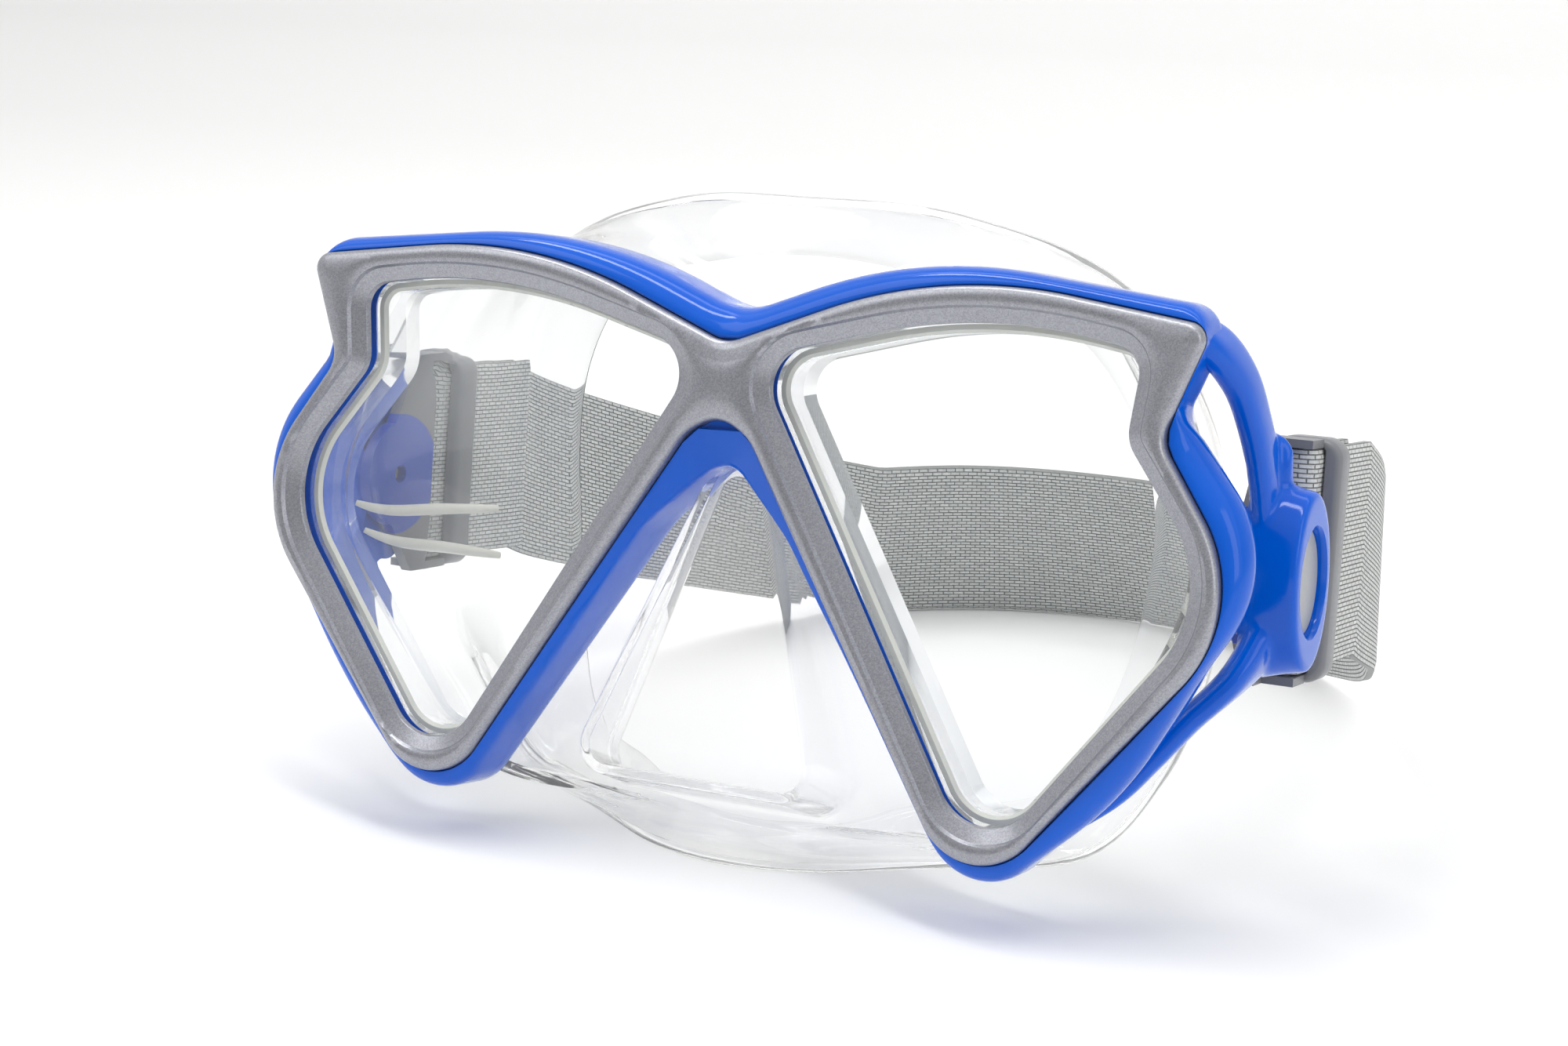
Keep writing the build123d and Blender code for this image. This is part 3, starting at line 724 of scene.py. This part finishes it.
def wall(shell):
    """The skirt's wall and rolled face seal; gives its outer and inner front loops."""
    count = 176
    angle, rows = ribs_all_round(count)
    start_r = np.maximum(rows[:, 0], window_reach(angle))
    for _ in range(14):
        start_r = np.maximum(start_r, (np.roll(start_r, 1) + start_r + np.roll(start_r, -1)) / 3)
    for _ in range(3):
        start_r = (np.roll(start_r, 1) + 2 * start_r + np.roll(start_r, -1)) / 4
    start_y = plane_depth(AXIS_Z + start_r * np.sin(angle), PLATE_W)
    line = np.array([np.stack([start_r, start_y], -1)] + [rows[:, k:k + 2] for k in (1, 3, 5, 7)])
    known = np.array([0, 1, 2, 3, 4.0])
    at = np.concatenate([np.linspace(0, 2, 9), np.linspace(2.15, 3.3, 9), np.linspace(3.42, 4, 6)])
    curve = smooth_through(at, known, line.reshape(5, -1)).reshape(len(at), count, 2)
    t = unit(np.gradient(curve, axis=0))
    normal = np.stack([-t[..., 1], t[..., 0]], -1)
    thick = np.interp(at, [0, 2, 3, 4], [WALL_T, WALL_T, 1.5, 0.8])[:, None, None]
    inner = curve + normal * thick
    inner[0, :, 0] = start_r - WALL_T
    inner[0, :, 1] = plane_depth(AXIS_Z + inner[0, :, 0] * np.sin(angle), PLATE_W + PLATE_T)
    tip = (curve[-1] + inner[-1]) / 2 + t[-1] * 0.4
    loops = [shell.add(floor_limit(around(angle, c[:, 0], c[:, 1]))) for c in [*curve, tip, *inner[::-1]]]
    shell.loft(loops)
    return (loops[0], flat(shell.points[0])), (loops[-1], flat(shell.points[-1]))


def floor_limit(points, low=0.0):
    """The points, with none lower than the floor."""
    points[:, 2] = np.maximum(points[:, 2], low)
    return points


def pocket_loops(inset):
    """Matching loops of the nose pocket, from its root on the plate to the middle of its front."""
    rear = counter_clockwise(rounded(POCKET_REAR, POCKET_R, 1.0))
    front = counter_clockwise(rounded(POCKET_FRONT, POCKET_R, 1.0))
    front = np.concatenate([front, front[:1]])
    run = np.linspace(0, 1, len(front))
    at = np.linspace(0, 1, len(rear), endpoint=False)
    front = np.stack([np.interp(at, run, front[:, k]) for k in (0, 1)], -1)
    return moved(rear, -inset), moved(front, -inset)


def pocket_front(loop, sink):
    """Points of the pocket's front, which leans back more than the windows; sink is depth behind it."""
    s, c = math.sin(POCKET_LEAN), math.cos(POCKET_LEAN)
    u, v = loop.T
    return np.stack([u, POCKET_TOP[0] + s * v + c * sink, POCKET_TOP[1] + c * v - s * sink], -1)


def nose_pocket(shell, inset, plate_w):
    """One skin of the nose pocket; gives its root loop."""
    rear, front = pocket_loops(inset)
    root = moved(rear, 1.7)
    base = place(*root.T, plate_w)
    bottom = place(*moved(rear, 0.7).T, plate_w - 0.6)
    wall_low = place(*rear.T, plate_w - 2.6)
    edge = POCKET_EDGE - inset
    top = pocket_front(front, POCKET_EDGE)
    loops = [base, bottom, wall_low]
    for f in (0.33, 0.66):
        loops.append(wall_low + f * (top - wall_low))
    for a in np.radians((0, 18, 36, 54, 72, 90)):
        line = moved(front, -edge * (1 - math.cos(a)))
        loops.append(pocket_front(line, inset + edge * (1 - math.sin(a))))
    ids = [shell.add(loop) for loop in loops]
    shell.loft(ids)
    last = loops[-1]
    centre = last.mean(0)
    for f in (0.66, 0.33):
        ids.append(shell.add(centre + f * (last - centre) + np.array([0, -0.25, 0.0])))
        shell.strip(ids[-2], ids[-1])
    hub = shell.add([centre + np.array([0, -0.3, 0.0])])[0]
    for i in range(len(last)):
        shell.face((ids[-1][i], ids[-1][(i + 1) % len(last)], hub))
    return ids[0], root


def skirt():
    """The silicone skirt: wall and face seal, plate with both windows' seats, nose pocket and temple ribs."""
    shell = Shell()
    outer, inner = wall(shell)
    front = WINDOW_SEAT_DEPTH - 0.02
    seat = [(0.7, PLATE_W), (0.7, front), (0.0, front), (-0.8, front), (-1.3, 5.3), (-1.3, PLATE_W + PLATE_T)]
    holes_out, holes_in = [], []
    for window in WINDOW_LOOPS:
        loops = [moved(window, out) for out, _ in seat]
        ids = [shell.add(place(*loop.T, w)) for loop, (_, w) in zip(loops, seat)]
        shell.loft(ids[:3])
        shell.slot = 1
        shell.loft(ids[2:5])
        shell.slot = 0
        shell.loft(ids[4:])
        holes_out.append((ids[0], loops[0]))
        holes_in.append((ids[-1], loops[-1]))
    holes_out.append(nose_pocket(shell, 0.0, PLATE_W))
    holes_in.append(nose_pocket(shell, 1.6, PLATE_W + PLATE_T))
    shell.patch(outer, holes_out)
    shell.patch(inner, holes_in, flip=True)
    shell.slot = 1
    for side in (-1, 1):
        temple_rib(shell, side, -1.8, -7.5)
        temple_rib(shell, side, -5.3, -14.4)
    return shell.make("silicone_skirt", [SILICONE, SEAT], 50)


def temple_rib(shell, side, first, last):
    """A low tapered rib along the temple wall, from its front edge towards the face seal."""
    at = np.linspace(0.35, 2.75, 40)
    rows = smooth_through(np.linspace(first, last, 40), RIBS[:, 0], RIBS[:, 1:])
    known = np.arange(4.0)
    line = []
    for k, row in enumerate(rows):
        angle = math.radians(first + (last - first) * k / 39)
        start_y = plane_depth(AXIS_Z + row[0] * math.sin(angle), PLATE_W)
        stations = np.array([(row[0], start_y), (row[1], row[2]), (row[3], row[4]), (row[5], row[6])])
        r, y = smooth_through(at[k:k + 1], known, stations)[0]
        r += 0.2
        line.append((side * r * math.cos(angle), y, AXIS_Z + r * math.sin(angle)))
    line = np.array(line)
    run = unit(np.gradient(line, axis=0))
    up = unit(np.cross(np.array([side, 0.0, 0.0]), run))
    out = np.cross(run, up)
    swell = 0.25 + 0.6 * np.sin(np.linspace(0.15, math.pi - 0.3, 40)) ** 0.7
    a = np.linspace(0, 2 * math.pi, 12, endpoint=False)
    loops = [shell.add(p + swell[k] * (np.cos(a)[:, None] * up[k] * 1.2 + np.sin(a)[:, None] * out[k]))
             for k, p in enumerate(line)]
    shell.loft(loops)
    shell.face(loops[0])
    shell.face(loops[-1])


# ------------------------------------------------------------------ strap
DIP = math.radians(8)
STRAP_W, STRAP_T, STRAP_X, STRAP_RISE = 34.6, 1.7, 82.4, 1.5
BAR_T, BAR_R = 12.6, 1.2
TAIL_X = STRAP_X - 2 * (STRAP_T + BAR_R)
TAIL_END, RUN_END = 42.0, 41.0
STRAP_BACK_Y = 164.0
LOOP_CORNERS = [(72.5, 108), (50, 142)]
LOOP_TURN_Y, LOOP_ACROSS = 78.0, 18.0
LOOP_R = [70, 130, 95, 58]
BACK_LEAN = 0.36
STRAP_DOWN_Y = 146.0
KEEPER_FRONT, KEEPER_BACK, KEEPER_EDGE = 14.7, 20.3, 1.1
KEEPER_LOW, KEEPER_HIGH = -17.45, 20.45
KEEPER_WALL = 1.4


def strap_frame(x, t, s):
    """Strap coordinates (across the mask, back along the strap, up its width) to the row frame."""
    x, t, s = np.broadcast_arrays(x, t, s)
    c, d = math.cos(DIP), math.sin(DIP)
    return np.stack([x, HUB_Y + t * c + s * d, HUB_Z - t * d + s * c], -1).astype(float)


def strap_path():
    """Centre points of the band from tail to tail, and the direction of its width at each."""
    r = BAR_R + STRAP_T / 2
    bar_x = STRAP_X - STRAP_T - BAR_R
    out = STRAP_X - STRAP_T / 2
    a = np.linspace(-math.pi, 0, 12)
    fold = np.column_stack([bar_x + r * np.cos(a), BAR_T + r * np.sin(a)])
    flat_run = np.concatenate([[(bar_x - r, TAIL_END)], fold, [(out, RUN_END)]])
    end = strap_frame(flat_run[:, 0], flat_run[:, 1], STRAP_RISE)
    y0 = end[-1, 1]
    back = STRAP_BACK_Y - STRAP_T / 2
    half = [(out, y0), (out, LOOP_TURN_Y), *LOOP_CORNERS, (LOOP_ACROSS, back)]
    loop = rounded(half + [(-x, y) for x, y in half[::-1]], LOOP_R + LOOP_R[::-1], 2.0, closed=False)
    fall = np.clip((loop[:, 1] - y0) / (STRAP_DOWN_Y - y0), 0, 1) ** 0.9
    loop_z = end[-1, 2] + fall * (0.3 + 0.94 * STRAP_W / 2 - end[-1, 2])
    middle = np.column_stack([loop, loop_z])[1:-1]
    path = resample(np.concatenate([end, middle, end[::-1] * (-1, 1, 1)]), 0.4, closed=False)
    held = step_up(path[:, 1], y0 + 25, y0)[:, None]
    tangent = unit(np.gradient(path, axis=0))
    inward = unit(np.cross(tangent, (0, 0, 1)))
    inward *= -np.sign((inward * (path - (0, 80, 0))).sum(1))[:, None]
    leaned = unit(np.array([0, 0, 1.0]) + inward * BACK_LEAN * step_up(path[:, 1], 90, 150)[:, None])
    up = unit(np.array([0, math.sin(DIP), math.cos(DIP)]) * held + leaned * (1 - held))
    return path, up


def strap():
    """Elastic webbing: a band with rounded edges, and slow waves where it hangs free."""
    shell = Shell()
    path, up = strap_path()
    run = np.concatenate([[0], np.cumsum(np.linalg.norm(np.diff(path, axis=0), axis=1))])
    tangent = unit(np.gradient(path, axis=0))
    side = unit(np.cross(tangent, up))
    free = step_up(path[:, 1], 70, 110)
    half_w, half_t = STRAP_W / 2, STRAP_T / 2
    rows = np.linspace(-1, 1, 24)
    section = [(r, 1) for r in rows] + [(1.0, 0.5), (1.0, -0.5)] + [(r, -1) for r in rows[::-1]]
    section += [(-1.0, -0.5), (-1.0, 0.5)]
    wave = 0.8 * np.sin(run / 23.0) + 0.35 * np.sin(run / 13.0 + 1.0)
    loops = []
    for s, face in section:
        edge = 1 - max(0.0, abs(s) - 0.93) * 5
        ripple = 0.5 * free * np.sin(run / 17.0) * abs(s) ** 3 * np.sign(s)
        off = face * half_t * edge + wave * free * (0.6 + 0.4 * s)
        point = path + up * (s * half_w + ripple)[:, None] + side * off[:, None]
        loops.append(shell.add(floor_limit(point, 0.3)))
        shell.band.append(np.column_stack([run, np.full(len(run), s * half_w)]))
    shell.loft(loops + [loops[0]], closed=False)
    for end in (0, -1):
        shell.face([loop[end] for loop in loops])
    return shell.make("strap_webbing", [WEBBING], 60)


def keeper(side):
    """The loop that holds the strap's folded end: two slots, and every outer edge well rounded."""
    def box_loop(x0, x1, low, high, radius):
        return rounded([(x0, low), (x1, low), (x1, high), (x0, high)], [radius] * 4, 0.5)

    outline = box_loop(TAIL_X - 2.8, STRAP_X + 2.9, KEEPER_LOW, KEEPER_HIGH, 3.4)
    holes = [box_loop(x - 0.2, x + STRAP_T + 0.2, KEEPER_LOW + KEEPER_WALL, KEEPER_HIGH - KEEPER_WALL, 0.6)
             for x in (STRAP_X - STRAP_T, TAIL_X)]
    shell = Shell()

    def rings(loop, profile):
        out = []
        for inset, t in profile:
            line = moved(loop, -inset)
            out.append((shell.add(strap_frame(side * line[:, 0], t, line[:, 1])), line))
        shell.loft([ids for ids, _ in out])
        return out

    t0, t1 = KEEPER_FRONT, KEEPER_BACK
    arc = [(KEEPER_EDGE * (1 - math.sin(a)), KEEPER_EDGE * (1 - math.cos(a)))
           for a in np.radians((0, 30, 60, 90))]
    body = rings(outline, [(i, t0 + d) for i, d in arc] + [(i, t1 - d) for i, d in arc[::-1]])
    slots = [rings(hole, [(-0.25, t0), (0, t0 + 0.25), (0, t1 - 0.25), (-0.25, t1)]) for hole in holes]
    shell.patch(body[0], [h[0] for h in slots])
    shell.patch(body[-1], [h[-1] for h in slots], flip=True)
    return shell.make("keeper", [GREY], 35)


# ------------------------------------------------------------------ pieces on their bodies
def fit_out(obj, body, slot, *nodes):
    """The piece rides on a body and stands for CAD nodes; slot is not used."""
    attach(obj, body)
    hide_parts(*nodes)
    return obj


fit_out(retainer(), "mask", "silver_plastic", "lens_retainer")
arm_right = side_arm()
arm_right.name = "side_arm_right"
arm_left = mirror_copy(arm_right, "side_arm_left")
for blue_piece in (arm_right, arm_left, rim()):
    fit_out(blue_piece, "mask", "blue_plastic", "main_frame")
fit_out(skirt(), "mask", "silicone", "skirt")
band = fit_out(strap(), "strap_assembly", "strap_webbing", "strap")
band_path, _ = strap_path()
for side_name, sign in SIDES:
    loop = keeper(sign)
    loop.name = f"keeper_loop_{side_name}"
    fit_out(loop, f"keeper_{side_name}", "grey_plastic", f"strap_keeper_{side_name}")

CAD_FINISH = {
    "lens": GLASS, "hub_plate": BLUE, "release_button": BUTTON, "button_spring": STEEL,
    "swivel_buckle": BUCKLE, "strap_bar": STEEL,
}
for name, finish in CAD_FINISH.items():
    for side_name, _ in SIDES:
        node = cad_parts[f"{name}_{side_name}"]
        node.data.materials.clear()
        node.data.materials.append(finish)
        node.data.shade_smooth()
        node.data.set_sharp_from_angle(angle=math.radians(30))


# ------------------------------------------------------------------ stage, lights and camera
CAMERA_AT = (0.2150, -0.3892, 0.1623)
CAMERA_LOOK = (-0.44982, 0.86234, -0.23245)
CAMERA_LENS = 68.4  # on a sensor 36 mm wide
TARGET = (0, 0.05, 0.05)


def stage_floor():
    """A pale sweep: floor that curves up into a wall behind."""
    shell = Shell()
    profile = [(-9000, 0), (900, 0), (1150, 30), (1330, 130), (1430, 300), (1460, 520), (1460, 2600)]
    loops = [shell.add([(x, y, z - 0.02) for x in (-9000, 9000)]) for y, z in profile]
    shell.loft(loops, closed=False)
    mat, _, p = nodes_of("pale_floor")
    p.inputs["Base Color"].default_value = (0.93, 0.93, 0.925, 1)
    p.inputs["Roughness"].default_value = 0.6
    obj = shell.make("floor", [mat], 60)


def area_light(name, at, target, size, power):
    """A white rectangular lamp, size in metres, aimed at a point."""
    data = bpy.data.lights.new(name, "AREA")
    data.shape = "RECTANGLE"
    data.size, data.size_y = size
    data.energy = power
    lamp = bpy.data.objects.new(name, data)
    lamp.location = at
    lamp.rotation_euler = (Vector(target) - Vector(at)).to_track_quat("-Z", "Y").to_euler()
    bpy.context.scene.collection.objects.link(lamp)


def camera():
    """The camera that the picture is taken with."""
    data = bpy.data.cameras.new("camera")
    data.sensor_width = 36.0
    data.lens = CAMERA_LENS
    data.clip_start = 0.01
    cam = bpy.data.objects.new("camera", data)
    cam.location = CAMERA_AT
    cam.rotation_euler = Vector(CAMERA_LOOK).to_track_quat("-Z", "Y").to_euler()
    bpy.context.scene.collection.objects.link(cam)
    bpy.context.scene.camera = cam


def studio():
    """A pale studio: bright above and behind, dimmer in front, where the camera stands."""
    world = bpy.data.worlds.new("studio")
    world.use_nodes = True
    tree = world.node_tree
    coords = tree.nodes.new("ShaderNodeTexCoord")
    axes = tree.nodes.new("ShaderNodeSeparateXYZ")
    link(tree, coords.outputs["Generated"], axes.inputs["Vector"])
    front = ramp(tree, axes.outputs["Y"], 0.36, 1.0, -0.95, 0.1)
    above = ramp(tree, axes.outputs["Z"], 0.0, 0.92, 0.15, 0.8)
    most = tree.nodes.new("ShaderNodeMath")
    most.operation = "MAXIMUM"
    link(tree, front, most.inputs[0])
    link(tree, above, most.inputs[1])
    link(tree, most.outputs[0], tree.nodes["Background"].inputs["Strength"])
    tree.nodes["Background"].inputs["Color"].default_value = (1, 1, 1, 1)
    bpy.context.scene.world = world


stage_floor()
area_light("top", (-0.05, -0.05, 0.85), TARGET, (0.9, 0.1), 3.0)
area_light("key", (-0.65, -0.5, 0.9), TARGET, (0.6, 0.6), 1.8)
area_light("fill", (0.95, -0.25, 0.45), TARGET, (0.4, 0.7), 1.4)
area_light("backdrop", (0, 0.55, 1.3), (0, 1.4, 0.45), (1.6, 0.5), 4.5)
studio()
bpy.context.scene.view_settings.view_transform = "Standard"
camera()
